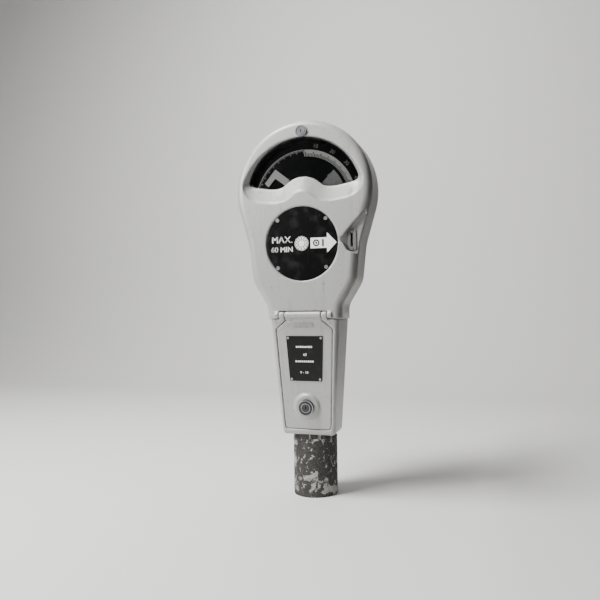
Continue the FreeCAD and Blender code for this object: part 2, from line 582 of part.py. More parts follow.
def gear(teeth, y0, y1, cx, cz, face_angle, tooth_there):
    """Plain toothed wheel; face_angle (degrees) points at its mate, where it shows a tooth or a gap."""
    rp = teeth * MODULE / 2
    ro, ri = rp + 0.82 * MODULE, rp - 1.15 * MODULE
    pitch = 2 * math.pi / teeth
    a0 = math.radians(face_angle) + (0 if tooth_there else pitch / 2)
    pts = []
    for k in range(teeth):
        a = a0 + k * pitch
        for r, da in ((ri, -0.235), (ro, -0.095), (ro, 0.095), (ri, 0.235)):
            pts.append((cx + r * math.cos(a + da * pitch), cz + r * math.sin(a + da * pitch)))
    return slab(pts, "y", y0, y1)


def spoked(wheel, cx, cz, r_hub, r_rim, y0, y1, arms=4):
    """Open a wheel's web, leaving straight arms."""
    web = cut(rod("y", cx, cz, r_rim, y0, y1), rod("y", cx, cz, r_hub, y0 - 1, y1 + 1))
    for k in range(arms):
        a = 180.0 * k / (arms / 2)
        bar = box(-60, 60, y0 - 1, y1 + 1, -1.6, 1.6)
        bar.rotate(V(0, 0, 0), V(0, 1, 0), a)
        bar.translate(V(cx, 0, cz))
        web = cut(web, bar)
    return cut(wheel, web)


CENTRE = (BIG + SMALL) * MODULE / 2 + GAP
MID = (-CENTRE * math.cos(math.radians(35)), DIAL_Z - CENTRE * math.sin(math.radians(35)))
ESC = (MID[0] + CENTRE * math.cos(math.radians(-68)), MID[1] + CENTRE * math.sin(math.radians(-68)))


def plate(y0):
    pts = [(-46, 336, 8), (46, 336, 8), (46, 440, 14), (-46, 440, 14)]
    s = slab(pts, "y", y0, y0 + PLATE_T)
    return cut(s, [rod("y", x, z, 1.5 + RUN, -60, 60) for x, z in ((0, DIAL_Z), MID, ESC, BALANCE)],
               [rod("y", x, z, 2.0, -60, 60) for x, z in MOUNTS], box(10, 24, -40, 30, 318, 352))


BALANCE = (20.0, 372.0)


def movement_front_plate():
    return one(plate(PLATE_F))


def movement_back_plate():
    return one(plate(PLATE_B))


def movement_pillars():
    return group([cut(rod("y", x, z, 3.6, PLATE_F + PLATE_T, PLATE_B), rod("y", x, z, 2.0, -60, 60)) for x, z in MOUNTS])


def movement_screws():
    return group([fuse(rod("y", x, z, 2.0, PLATE_F, 20), rod("y", x, z, 3.6, PLATE_F - 2.2, PLATE_F)) for x, z in MOUNTS])


def dial_plate():
    s = rod("y", 0, DIAL_Z, 80, DIAL_Y, DIAL_Y + 1).common(box(-90, 90, -60, 0, 366, 500))
    s = cut(s, rod("y", 0, DIAL_Z, 4.0, -60, 0), [rod("y", x, z, 1.4, -60, 0) for x, z in DIAL_SCREWS])
    return one(s)


DIAL_SCREWS = [(-34.0, 430.0), (34.0, 430.0)]


def dial_posts():
    out = []
    for x, z in DIAL_SCREWS:
        out.append(cut(rod("y", x, z, 3.0, DIAL_Y + 1, PLATE_F - 2.2), rod("y", x, z, 1.4, -60, -26.5)))
    return group(out)


def dial_screws():
    return group([screw_y(x, z, DIAL_Y, 2.6, 0.5, 1.4, 7.0, slot=False) for x, z in DIAL_SCREWS])


def dial_scale():
    return one(sector(61, 70, 0, 118, DIAL_Y - 0.4, DIAL_Y, DIAL_Z))




def pointer():
    a = math.radians(-43.0)
    ux, uz, nx, nz = math.sin(a), math.cos(a), math.cos(a), -math.sin(a)
    at = lambda r, n: (r * ux + n * nx, DIAL_Z + r * uz + n * nz, 0)
    arm = slab([at(0, -3.0), at(0, 3.0), at(36, 2.5), at(36, -2.5)], "y", -37.2, -36.4)
    head = slab([(-40.6, 443.0, 0.8), (-20.5, 427.2, 0.5), (-25.6, 419.4, 0.5), (-40.9, 430.6, 0.5), (-50.6, 419.6, 0.5), (-56.0, 424.8, 0.5)], "y", -37.2, -36.4)
    hub = rod("y", 0, DIAL_Z, 5, -37.2, -36.4)
    return one(fuse(arm, head, hub))


def pointer_arbor():
    wheel = spoked(gear(BIG, -16, -14, 0, DIAL_Z, 215, True), 0, DIAL_Z, 5, 19.5, -17, -13)
    s = fuse(rod("y", 0, DIAL_Z, 1.5, -36.4, PLATE_B + 2.0), rod("y", 0, DIAL_Z, 4, -18, -12), wheel)
    return one(s)


def intermediate_wheel():
    pinion = gear(SMALL, -17, -13, MID[0], MID[1], 35, False)
    wheel = spoked(gear(BIG, -6, -4, MID[0], MID[1], -68, True), MID[0], MID[1], 5, 19.5, -7, -3)
    return one(fuse(rod("y", MID[0], MID[1], 1.5, PLATE_F, PLATE_B + 2.0), rod("y", MID[0], MID[1], 4, -13, -3), pinion, wheel))


def escape_wheel():
    pinion = gear(SMALL, -7, -3, ESC[0], ESC[1], 112, False)
    pts = []
    for k in range(15):
        a = math.radians(24 * k)
        b = math.radians(24 * k + 7)
        pts += [(ESC[0] + 8.6 * math.cos(a), ESC[1] + 8.6 * math.sin(a)), (ESC[0] + 11.7 * math.cos(b), ESC[1] + 11.7 * math.sin(b))]
    wheel = slab(pts, "y", 2, 3.5)
    return one(fuse(rod("y", ESC[0], ESC[1], 1.5, PLATE_F, PLATE_B + 2.0), rod("y", ESC[0], ESC[1], 3, -3, 2), pinion, wheel))


def balance_wheel():
    x, z = BALANCE
    rim = cut(rod("y", x, z, 15, -2, 0.5), rod("y", x, z, 12.6, -3, 2))
    bar = box(x - 13, x + 13, -1.6, 0.1, z - 1.5, z + 1.5)
    return one(fuse(rim, bar, rod("y", x, z, 1.5, PLATE_F, PLATE_B + 2.0), rod("y", x, z, 3, -4, 2.5)))


def overtime_flag():
    plate_ = sector(2.4, 57, 45, 116, DIAL_Y - 1.3, DIAL_Y - 0.7, DIAL_Z)
    pipe = cut(rod("y", 0, DIAL_Z, 3.2, DIAL_Y - 1.3, -26.5), rod("y", 0, DIAL_Z, 1.5 + RUN, -60, 0))
    tail = slab([(-2, DIAL_Z - 3, 0), (2, DIAL_Z - 3, 0), (1.5, DIAL_Z - 24, 0), (-1.5, DIAL_Z - 24, 0)], "y", -29.5, -28)
    s = fuse(plate_, pipe, tail)
    return one(cut(s, rod("y", 0, DIAL_Z, 1.5 + RUN, -60, 0)))


# ---- coin chute ------------------------------------------------------------
def coin_chute():
    """Square pipe from behind the coin slot, down and inward to the deck opening."""
    outer = slab([(SLOT_X - 8, 358), (SLOT_X + 2.6, 358), (SLOT_X + 1.8, 330), (46, 294), (24, 262), (21, 245.5), (-2, 245.5), (-2, 262), (32, 308)], "y", -9, 6)
    inner = slab([(SLOT_X - 6.5, 356.5), (SLOT_X + 1.2, 356.5), (SLOT_X + 0.4, 330.5), (44.6, 294.6), (22.6, 262.4), (19.5, 244), (-0.5, 244), (-0.5, 261.5), (33.4, 307.4)], "y", -7.5, 4.5)
    neck = box(SLOT_X - 3.4, SLOT_X + 3.2, -39.5, -8.0, SLOT_Z - 11, SLOT_Z + 11)
    bore = box(SLOT_X - 2.0, SLOT_X + 1.9, -41, -7, SLOT_Z - 9.5, SLOT_Z + 9.5)
    return one(cut(fuse(outer, neck), inner, bore))


NODES = {
    "post_stub": post_stub, "lower_housing": lower_housing, "post_set_screws": post_set_screws,
    "hinge_pin": hinge_pin, "shell_screws": shell_screws, "rear_shell": rear_shell,
    "rear_glass": rear_glass, "rear_glass_ring": rear_glass_ring, "rear_ring_screws": rear_ring_screws,
    "movement_front_plate": movement_front_plate, "movement_back_plate": movement_back_plate,
    "movement_pillars": movement_pillars, "movement_screws": movement_screws,
    "dial_plate": dial_plate, "dial_scale": dial_scale, "dial_posts": dial_posts, "dial_screws": dial_screws,
    "coin_chute": coin_chute,
    "front_cover": front_cover, "front_glass": front_glass, "glass_retainer": glass_retainer,
    "retainer_screws": retainer_screws, "instruction_disc": instruction_disc, "disc_screws": disc_screws,
    "centre_badge": centre_badge, "direction_arrow": direction_arrow, "coin_slot_plate": coin_slot_plate,
    "slot_plate_screws": slot_plate_screws, "cover_lock_barrel": cover_lock_barrel, "cover_lock_nut": cover_lock_nut,
    "cover_lock_plug": cover_lock_plug, "cover_lock_cam": cover_lock_cam,
    "cash_door": cash_door, "info_plate": info_plate,
    "info_plate_rivets": lambda: rivets(INFO_RIVETS, 0.9, -0.8, 1.6),
    "number_plate": number_plate, "number_plate_rivets": lambda: rivets(NUMBER_RIVETS, 0.6, -0.6, 1.0),
    "door_lock_barrel": door_lock_barrel, "door_lock_nut": door_lock_nut,
    "door_lock_plug": door_lock_plug, "door_lock_cam": door_lock_cam,
    "cash_box": cash_box, "cash_box_lid": cash_box_lid, "cash_box_handle": cash_box_handle,
    "pointer": pointer, "pointer_arbor": pointer_arbor, "intermediate_wheel": intermediate_wheel,
    "escape_wheel": escape_wheel, "balance_wheel": balance_wheel, "overtime_flag": overtime_flag,
}

os.makedirs("parts", exist_ok=True)
for name, make in NODES.items():
    shape = make()
    solids = shape.Solids
    bad = [s for s in solids if not s.isValid() or s.Volume <= 0]
    print("%-22s solids %2d  volume %10.1f  valid %s" % (name, len(solids), shape.Volume, not bad))
    shape.exportStep("parts/%s.step" % name)
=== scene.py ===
"""Looks of a clockwork parking meter head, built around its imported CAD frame."""

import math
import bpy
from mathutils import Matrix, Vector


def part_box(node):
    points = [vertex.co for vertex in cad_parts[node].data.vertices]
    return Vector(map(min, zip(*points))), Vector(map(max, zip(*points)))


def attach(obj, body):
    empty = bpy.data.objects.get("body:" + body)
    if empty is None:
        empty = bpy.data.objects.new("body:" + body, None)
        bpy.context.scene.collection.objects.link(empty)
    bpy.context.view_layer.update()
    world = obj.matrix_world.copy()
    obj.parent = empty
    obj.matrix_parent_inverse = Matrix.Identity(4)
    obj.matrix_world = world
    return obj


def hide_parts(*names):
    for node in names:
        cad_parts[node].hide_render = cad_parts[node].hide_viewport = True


bl_info = {
    "name": "Parking meter head",
    "version": (1, 0, 0),
    "blender": (4, 5, 0),
    "location": "View3D > Sidebar > Parking meter",
    "description": "Builds the castings, dial, disc, locks and post of a clockwork parking meter",
    "category": "Add Mesh",
}

import bmesh
import bpy
import numpy as np
from mathutils import Matrix, Vector

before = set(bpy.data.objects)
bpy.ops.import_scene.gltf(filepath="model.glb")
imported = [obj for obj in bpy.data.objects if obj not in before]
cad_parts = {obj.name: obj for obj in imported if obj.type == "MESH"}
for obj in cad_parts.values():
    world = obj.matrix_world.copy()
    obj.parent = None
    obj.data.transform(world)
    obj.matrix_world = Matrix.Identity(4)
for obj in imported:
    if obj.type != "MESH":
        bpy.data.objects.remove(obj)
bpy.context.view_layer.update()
MM = 0.001

DISC_LOW, DISC_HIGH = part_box("instruction_disc")
DISC_CENTRE = (DISC_LOW + DISC_HIGH) / 2
ARBOR_LOW, ARBOR_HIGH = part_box("pointer_arbor")
SCALE_LOW, SCALE_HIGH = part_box("dial_scale")
PLATE_LOW, PLATE_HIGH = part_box("info_plate")
PLATE_HEIGHT = PLATE_HIGH.z - PLATE_LOW.z
PLATE_DEPTH = PLATE_HIGH.y - PLATE_LOW.y - 0.8 * MM  # how far its 0.8 mm sheet leans back from foot to head
INK = 0.12 * MM  # how far printed marks stand out


# ---- sizes and colours a user would change --------------------------------
class MeterSizes(bpy.types.PropertyGroup):
    """Sizes of the finishing detail; the large shapes come from the frame."""

    casting_voxel: bpy.props.FloatProperty(
        name="Casting grain", description="Grid size the castings are re-surfaced at",
        default=1.0 * MM, unit="LENGTH")
    casting_soften: bpy.props.IntProperty(
        name="Edge softening", description="How many smoothing passes round the castings' edges",
        default=4, min=0)
    dial_radius: bpy.props.FloatProperty(
        name="Dial arc radius", description="Radius of the dial's thin outer arc",
        default=70.0 * MM, unit="LENGTH")
    band_inner: bpy.props.FloatProperty(
        name="Scale band inner radius", description="Inner radius of the white time band",
        default=61.0 * MM, unit="LENGTH")


def linear(hex_colour):
    """sRGB hex to linear RGBA: the usual two-part curve, channel by channel."""
    c = np.array([int(hex_colour[i:i + 2], 16) for i in (1, 3, 5)]) / 255.0
    c = np.where(c <= 0.04045, c / 12.92, ((c + 0.055) / 1.055) ** 2.4)
    return (*c.tolist(), 1.0)


def colour(name, description, hex_colour):
    """A colour a user can change."""
    return bpy.props.FloatVectorProperty(
        name=name, description=description, subtype="COLOR",
        size=4, min=0, max=1, default=linear(hex_colour))


class MeterColours(bpy.types.PropertyGroup):
    """Colours of the finishes."""

    casting: colour("Casting paint", "Silver-grey paint on the castings", "#A6A6A3")
    casting_grime: colour("Casting grime", "Dirt that has settled in the paint", "#55534F")
    enamel: colour("Black enamel", "Stove enamel of the disc and plates", "#050506")
    marking: colour("White marking", "Printed marks", "#F6F5F2")
    post_dark: colour("Post paint", "Old dark paint on the post", "#232221")
    post_pale: colour("Post primer", "Pale primer where the paint has flaked", "#A8A6A0")
    steel: colour("Plated steel", "Screws, rings and pins", "#A6A6A5")
    brass: colour("Brass", "Clockwork plates and wheels", "#A88F56")
    floor: colour("Floor", "Studio floor and backdrop", "#E4E3E1")


def sizes():
    return bpy.context.scene.meter_sizes


def colours():
    return bpy.context.scene.meter_colours


# ---- meshes ----------------------------------------------------------------
def surface(points, wrap_u=False, wrap_v=False):
    """Grid of points (rows u, columns v, xyz) as vertices and quads; wrap closes a direction on itself."""
    nu, nv = points.shape[:2]
    index = np.arange(nu * nv).reshape(nu, nv)
    a = index if wrap_u else index[:-1]
    b = np.roll(index, -1, 0) if wrap_u else index[1:]
    a2, b2 = np.roll(a, -1, 1), np.roll(b, -1, 1)
    if not wrap_v:
        a, b, a2, b2 = a[:, :-1], b[:, :-1], a2[:, :-1], b2[:, :-1]
    return points.reshape(-1, 3), np.stack([a, b, b2, a2], -1).reshape(-1, 4)


def merge(parts):
    """Several (vertices, faces) pairs as one: each one's faces count on from the vertices before it."""
    start, all_v, all_f = 0, [], []
    for v, f in parts:
        all_v.append(v)
        all_f += [tuple(int(i) + start for i in face) for face in f]
        start += len(v)
    return np.concatenate(all_v), all_f


def turned(profile, centre, along, steps=64):
    """Lathe shape: each (radius, height) of a closed profile becomes a ring round the axis through centre."""
    profile = np.array(profile, float)
    axis = Vector(along).normalized()
    side = axis.orthogonal().normalized()
    other = axis.cross(side)
    turn = np.linspace(0, 2 * np.pi, steps, endpoint=False)
    ring = np.cos(turn)[:, None] * np.array(side) + np.sin(turn)[:, None] * np.array(other)
    radius, height = profile[:, 0, None, None], profile[:, 1, None, None]
    v, f = surface(np.array(centre) + radius * ring[None] + height * np.array(axis), wrap_v=True)
    return v, f.tolist()


def prism(outline, y_front, y_back):
    """Flat plate: an outline in X and Z (anticlockwise from the front) given thickness along Y."""
    o = np.array(outline, float)
    n = len(o)
    v = np.concatenate([np.column_stack([o[:, 0], np.full(n, y_front), o[:, 1]]),
                        np.column_stack([o[:, 0], np.full(n, y_back), o[:, 1]])])
    k = np.arange(n)
    sides = np.column_stack([k, k + n, (k + 1) % n + n, (k + 1) % n]).tolist()
    return v, [k.tolist(), (k[::-1] + n).tolist()] + sides


def block(x, z, wide, tall, y_front, y_back):
    """Flat rectangular plate from its lower left corner."""
    return prism([(x, z), (x + wide, z), (x + wide, z + tall), (x, z + tall)], y_front, y_back)


def ring_plate(r0, r1, a0, a1, centre, y_front, y_back, steps=96):
    """Ring sector as a grid: across the band, then back along its rear, closed all round. Angles are in
    degrees, clockwise from the top. A sector of 360 degrees is joined to itself instead of being capped."""
    whole = a1 - a0 >= 360
    a = np.radians(np.linspace(a0, a1, steps, endpoint=not whole))
    loop_r = np.array([r0, r1, r1, r0])
    loop_y = np.array([y_front, y_front, y_back, y_back])
    grid = np.stack([centre[0] + loop_r[None] * np.sin(a)[:, None],
                     np.broadcast_to(loop_y, (steps, 4)),
                     centre[1] + loop_r[None] * np.cos(a)[:, None]], -1)
    v, f = surface(grid, wrap_u=whole, wrap_v=True)
    if whole:
        return v, f.tolist()
    last = (steps - 1) * 4
    return v, f.tolist() + [[3, 2, 1, 0], [last, last + 1, last + 2, last + 3]]


def tick_marks(long, short, start, sweep, half_width, centre, y_front, y_back):
    """61 ticks spread evenly over a sweep in degrees, every fifth one long; long and short are the
    radii each kind runs between."""
    marks = []
    for k in range(61):
        a = start + k * sweep / 60
        r0, r1 = short if k % 5 else long
        marks.append(ring_plate(r0, r1, a - half_width, a + half_width, centre, y_front, y_back, 3))
    return marks


FONT_TO_CAPITAL = 1.38  # font size over the height of its capitals


def lettering(text, height, x, z, y, depth, lean=0.0):
    """Plain capitals and numerals as raised shapes: a text curve made a mesh, stood up facing the front."""
    curve = bpy.data.curves.new("lettering", "FONT")
    curve.body, curve.size, curve.extrude = text, height * FONT_TO_CAPITAL, depth / 2
    curve.align_x, curve.align_y = "CENTER", "CENTER"
    curve.resolution_u = 4
    holder = bpy.data.objects.new("lettering", curve)
    bpy.context.scene.collection.objects.link(holder)
    mesh = evaluated(holder)
    bpy.data.objects.remove(holder)
    bpy.data.curves.remove(curve)
    upright = Matrix.Rotation(lean, 4, "Y") @ Matrix.Rotation(math.pi / 2, 4, "X")
    mesh.transform(Matrix.Translation((x, y - depth / 2, z)) @ upright)
    v = np.array([p.co for p in mesh.vertices], float)
    f = [tuple(p.vertices) for p in mesh.polygons]
    bpy.data.meshes.remove(mesh)
    return v, f


def evaluated(obj):
    """The object's mesh with its modifiers applied."""
    bpy.context.view_layer.update()
    return bpy.data.meshes.new_from_object(obj.evaluated_get(bpy.context.evaluated_depsgraph_get()))


def join_up(mesh, face_out=False):
    """Merge a mesh's doubled vertices and, if asked, turn every face outwards."""
    b = bmesh.new()
    b.from_mesh(mesh)
    bmesh.ops.remove_doubles(b, verts=b.verts, dist=1e-6)
    if face_out:
        bmesh.ops.recalc_face_normals(b, faces=b.faces)
    b.to_mesh(mesh)
    b.free()


def dress(obj, material, body, replaces=(), smooth=True, sharp=35.0):
    """Gives an object its finish, its shading, the body it rides on and the frame nodes it stands for."""
    bpy.context.scene.collection.objects.link(obj)
    obj.data.materials.clear()
    obj.data.materials.append(material)
    if smooth:
        obj.data.shade_smooth()
        obj.data.set_sharp_from_angle(angle=math.radians(sharp))
    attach(obj, body)
    if replaces:
        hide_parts(*replaces)


def piece(name, parts, finish, body, smooth=False):
    """A finished piece: its parts as one mesh in place, dressed, with its faces turned outwards."""
    vertices, faces = merge(parts)
    mesh = bpy.data.meshes.new(name)
    mesh.from_pydata(vertices.tolist(), [], faces)
    mesh.validate()
    dress(bpy.data.objects.new(name, mesh), finish_of(finish), body, smooth=smooth)
    join_up(mesh, face_out=True)


def stage_piece(name, shape, smooth=False):
    """A piece of the stage, which is no part of the object."""
    mesh = bpy.data.meshes.new(name)
    mesh.from_pydata(shape[0].tolist(), [], shape[1].tolist())
    if smooth:
        mesh.shade_smooth()
    obj = bpy.data.objects.new(name, mesh)
    bpy.context.scene.collection.objects.link(obj)
    return obj


# ---- materials -------------------------------------------------------------
BLACK, WHITE = (0, 0, 0, 1), (1, 1, 1, 1)


def add(tree, kind, links=None, values=None, **settings):
    """Adds one node, sets its fields and input values, and links {input: (node, output)}.
    Values is for inputs that a keyword can't name, such as numbered ones."""
    n = tree.nodes.new(kind)
    for key, value in settings.items():
        if hasattr(n, key):
            setattr(n, key, value)
        else:
            n.inputs[key.replace("_", " ")].default_value = value
    for key, value in (values or {}).items():
        n.inputs[key].default_value = value
    for key, (source, output) in (links or {}).items():
        tree.links.new(source.outputs[output], n.inputs[key])
    return n


def new_material(name):
    """An empty material and its node tree."""
    m = bpy.data.materials.get(name) or bpy.data.materials.new(name)
    m.use_nodes = True
    m.node_tree.nodes.clear()
    return m, m.node_tree


def close(tree, shader):
    """Ends a material's tree in the given shader."""
    add(tree, "ShaderNodeOutputMaterial", {"Surface": (shader, 0)})


def ramp(tree, source, low, high, output="Fac"):
    """Black below low, white above high and even between."""
    n = add(tree, "ShaderNodeValToRGB", {"Fac": (source, output)})
    n.color_ramp.elements[0].position, n.color_ramp.elements[0].color = low, BLACK
    n.color_ramp.elements[1].position, n.color_ramp.elements[1].color = high, WHITE
    return n


def painted_casting():
    """Silver-grey spray paint on a die-cast housing: satin, with an orange-peel skin of about 1.2 mm,
    slow mottling of 40 mm, grime that has run down it, 5 mm flecks and paler worn edges."""
    m, t = new_material("sprayed_paint_on_die_cast_zinc")
    c = colours()
    place = add(t, "ShaderNodeTexCoord")
    peel = add(t, "ShaderNodeTexNoise", {"Vector": (place, "Object")},
               Scale=1 / (1.2 * MM), Detail=2.0, Roughness=0.5)
    mottle = add(t, "ShaderNodeTexNoise", {"Vector": (place, "Object")},
                 Scale=1 / (40 * MM), Detail=6.0, Roughness=0.6)
    spots = add(t, "ShaderNodeTexNoise", {"Vector": (place, "Object")},
                Scale=1 / (5 * MM), Detail=5.0, Roughness=0.65)
    stretch = add(t, "ShaderNodeMapping", {"Vector": (place, "Object")}, Scale=(1.0, 1.0, 0.12))
    runs = add(t, "ShaderNodeTexNoise", {"Vector": (stretch, "Vector")},
               Scale=1 / (9 * MM), Detail=4.0, Roughness=0.6)
    slow = ramp(t, mottle, 0.36, 0.66)
    fleck = ramp(t, spots, 0.60, 0.74)
    streak = ramp(t, runs, 0.52, 0.80)
    stain = add(t, "ShaderNodeMath", {0: (slow, "Color"), 1: (streak, "Color")}, operation="MULTIPLY")
    dirt = add(t, "ShaderNodeMath", {0: (stain, 0), 1: (fleck, "Color")}, operation="ADD", use_clamp=True)
    amount = add(t, "ShaderNodeMath", {0: (dirt, 0)}, {1: 0.5}, operation="MULTIPLY")
    base = add(t, "ShaderNodeMix", {"Factor": (amount, 0)},
               {"A": c.casting, "B": c.casting_grime}, data_type="RGBA")
    geometry = add(t, "ShaderNodeNewGeometry")
    edge = ramp(t, geometry, 0.53, 0.60, "Pointiness")
    worn = add(t, "ShaderNodeMath", {0: (edge, "Color"), 1: (spots, "Fac")}, operation="MULTIPLY")
    pale = add(t, "ShaderNodeMix", {"Factor": (worn, 0), "A": (base, "Result")},
               {"B": linear("#DADAD8")}, data_type="RGBA")
    rough = add(t, "ShaderNodeMapRange", {"Value": (dirt, 0)}, To_Min=0.40, To_Max=0.70)
    skin = add(t, "ShaderNodeBump", {"Height": (peel, "Fac")}, Strength=0.22, Distance=0.12 * MM)
    pits = add(t, "ShaderNodeBump", {"Height": (fleck, "Color"), "Normal": (skin, "Normal")},
               Strength=0.25, Distance=0.15 * MM, invert=True)
    close(t, add(t, "ShaderNodeBsdfPrincipled",
                 {"Base Color": (pale, "Result"), "Roughness": (rough, "Result"), "Normal": (pits, "Normal")},
                 Metallic=0.12, Coat_Weight=0.2, Coat_Roughness=0.3))
    return m


def black_enamel():
    """Black stove enamel on sheet steel: deep and smooth, clouded with dust and finely scratched."""
    m, t = new_material("stove_enamel_on_sheet_steel")
    place = add(t, "ShaderNodeTexCoord")
    cloud = add(t, "ShaderNodeTexNoise", {"Vector": (place, "Object")},
                Scale=1 / (14 * MM), Detail=8.0, Roughness=0.7)
    squeeze = add(t, "ShaderNodeMapping", {"Vector": (place, "Object")},
                  Rotation=(0.0, 0.6, 0.0), Scale=(1.0, 1.0, 0.05))
    scratch = add(t, "ShaderNodeTexNoise", {"Vector": (squeeze, "Vector")},
                  Scale=1 / (0.9 * MM), Detail=2.0, Roughness=0.5)
    line = ramp(t, scratch, 0.68, 0.74)
    dust = ramp(t, cloud, 0.50, 0.86)
    marks = add(t, "ShaderNodeMath", {0: (line, "Color"), 1: (dust, "Color")},
                operation="ADD", use_clamp=True)
    share = add(t, "ShaderNodeMath", {0: (marks, 0)}, {1: 0.05}, operation="MULTIPLY")
    base = add(t, "ShaderNodeMix", {"Factor": (share, 0)},
               {"A": colours().enamel, "B": linear("#8C8B88")}, data_type="RGBA")
    rough = add(t, "ShaderNodeMapRange", {"Value": (dust, "Color")}, To_Min=0.28, To_Max=0.55)
    bump = add(t, "ShaderNodeBump", {"Height": (line, "Color")},
               Strength=0.2, Distance=0.05 * MM, invert=True)
    close(t, add(t, "ShaderNodeBsdfPrincipled",
                 {"Base Color": (base, "Result"), "Roughness": (rough, "Result"), "Normal": (bump, "Normal")},
                 Specular_IOR_Level=0.22, Coat_Weight=0.05, Coat_Roughness=0.15))
    return m


def white_marking():
    """White screen print: flat, slightly rubbed so that it is dulled in places."""
    m, t = new_material("screen_printed_white_ink")
    place = add(t, "ShaderNodeTexCoord")
    rub = add(t, "ShaderNodeTexNoise", {"Vector": (place, "Object")},
              Scale=1 / (2.2 * MM), Detail=6.0, Roughness=0.7)
    worn = ramp(t, rub, 0.60, 0.72)
    share = add(t, "ShaderNodeMath", {0: (worn, "Color")}, {1: 0.35}, operation="MULTIPLY")
    base = add(t, "ShaderNodeMix", {"Factor": (share, 0)},
               {"A": colours().marking, "B": linear("#6E6D6A")}, data_type="RGBA")
    close(t, add(t, "ShaderNodeBsdfPrincipled", {"Base Color": (base, "Result")}, Roughness=0.6))
    return m


def flaking_post():
    """Old oil paint on a steel tube: dark and blotched, flaked to pale primer in ragged islands,
    with browner paint and dirt between."""
    m, t = new_material("flaking_oil_paint_on_steel_tube")
    c = colours()
    place = add(t, "ShaderNodeTexCoord")
    islands = add(t, "ShaderNodeTexNoise", {"Vector": (place, "Object")},
                  Scale=1 / (18 * MM), Detail=8.0, Roughness=0.68, Distortion=0.8)
    fine = add(t, "ShaderNodeTexNoise", {"Vector": (place, "Object")},
               Scale=1 / (2.5 * MM), Detail=6.0, Roughness=0.7)
    chips = add(t, "ShaderNodeTexNoise", {"Vector": (place, "Object")},
                Scale=1 / (6 * MM), Detail=6.0, Roughness=0.6, Distortion=0.4)
    small = ramp(t, chips, 0.60, 0.62)
    large = ramp(t, islands, 0.542, 0.562)
    flake = add(t, "ShaderNodeMath", {0: (large, "Color"), 1: (small, "Color")}, operation="MAXIMUM")
    rust = ramp(t, fine, 0.45, 0.65)
    dark = add(t, "ShaderNodeMix", {"Factor": (rust, "Color")},
               {"A": c.post_dark, "B": linear("#4A4642")}, data_type="RGBA")
    pale = add(t, "ShaderNodeMix", {"Factor": (rust, "Color")},
               {"A": c.post_pale, "B": linear("#77746F")}, data_type="RGBA")
    base = add(t, "ShaderNodeMix", {"Factor": (flake, 0), "A": (dark, "Result"), "B": (pale, "Result")},
               data_type="RGBA")
    rough = add(t, "ShaderNodeMapRange", {"Value": (fine, "Fac")}, To_Min=0.5, To_Max=0.9)
    bump = add(t, "ShaderNodeBump", {"Height": (flake, 0)}, Strength=0.8, Distance=0.3 * MM, invert=True)
    grit = add(t, "ShaderNodeBump", {"Height": (fine, "Fac"), "Normal": (bump, "Normal")},
               Strength=0.5, Distance=0.25 * MM)
    close(t, add(t, "ShaderNodeBsdfPrincipled",
                 {"Base Color": (base, "Result"), "Roughness": (rough, "Result"),
                  "Normal": (grit, "Normal")}))
    return m


def metal(name, base_colour, smoothest, roughest, grain_mm, brushed, depth_mm=0.05, metallic=1.0):
    """Metal: a fine grain of the given spacing, drawn out along the brushing direction, with 6 mm
    patches of tarnish."""
    m, t = new_material(name)
    place = add(t, "ShaderNodeTexCoord")
    stretch = add(t, "ShaderNodeMapping", {"Vector": (place, "Object")}, Scale=brushed)
    grain = add(t, "ShaderNodeTexNoise", {"Vector": (stretch, "Vector")},
                Scale=1 / (grain_mm * MM), Detail=4.0, Roughness=0.6)
    tarnish = add(t, "ShaderNodeTexNoise", {"Vector": (place, "Object")},
                  Scale=1 / (6 * MM), Detail=5.0, Roughness=0.6)
    shade = ramp(t, tarnish, 0.40, 0.75)
    part = add(t, "ShaderNodeMath", {0: (shade, "Color")}, {1: 0.45}, operation="MULTIPLY")
    tarnished = tuple(v * 0.35 for v in base_colour[:3]) + (1.0,)
    base = add(t, "ShaderNodeMix", {"Factor": (part, 0)},
               {"A": base_colour, "B": tarnished}, data_type="RGBA")
    rough = add(t, "ShaderNodeMapRange", {"Value": (grain, "Fac")}, To_Min=smoothest, To_Max=roughest)
    bump = add(t, "ShaderNodeBump", {"Height": (grain, "Fac")}, Strength=0.3, Distance=depth_mm * MM)
    close(t, add(t, "ShaderNodeBsdfPrincipled",
                 {"Base Color": (base, "Result"), "Roughness": (rough, "Result"), "Normal": (bump, "Normal")},
                 Metallic=metallic))
    return m


def window_glass():
    """Float glass: clear, lightly dusty, with a mirror gloss at grazing angles."""
    m, t = new_material("dusty_float_glass")
    place = add(t, "ShaderNodeTexCoord")
    dust = add(t, "ShaderNodeTexNoise", {"Vector": (place, "Object")},
               Scale=1 / (12 * MM), Detail=8.0, Roughness=0.7)
    veil = ramp(t, dust, 0.45, 0.9)
    rough = add(t, "ShaderNodeMapRange", {"Value": (veil, "Color")}, To_Min=0.03, To_Max=0.25)
    gloss = add(t, "ShaderNodeBsdfPrincipled", {"Roughness": (rough, "Result")},
                IOR=1.5, Base_Color=linear("#202224"))
    clear = add(t, "ShaderNodeBsdfTransparent")
    rim = add(t, "ShaderNodeFresnel", IOR=1.5)
    lift = add(t, "ShaderNodeMapRange", {"Value": (rim, "Fac")}, To_Min=0.04, To_Max=0.9)
    close(t, add(t, "ShaderNodeMixShader", {0: (lift, "Result"), 1: (clear, 0), 2: (gloss, 0)}))
    m.surface_render_method = "BLENDED"
    return m


EVEN = (1.0, 1.0, 1.0)  # grain with no direction

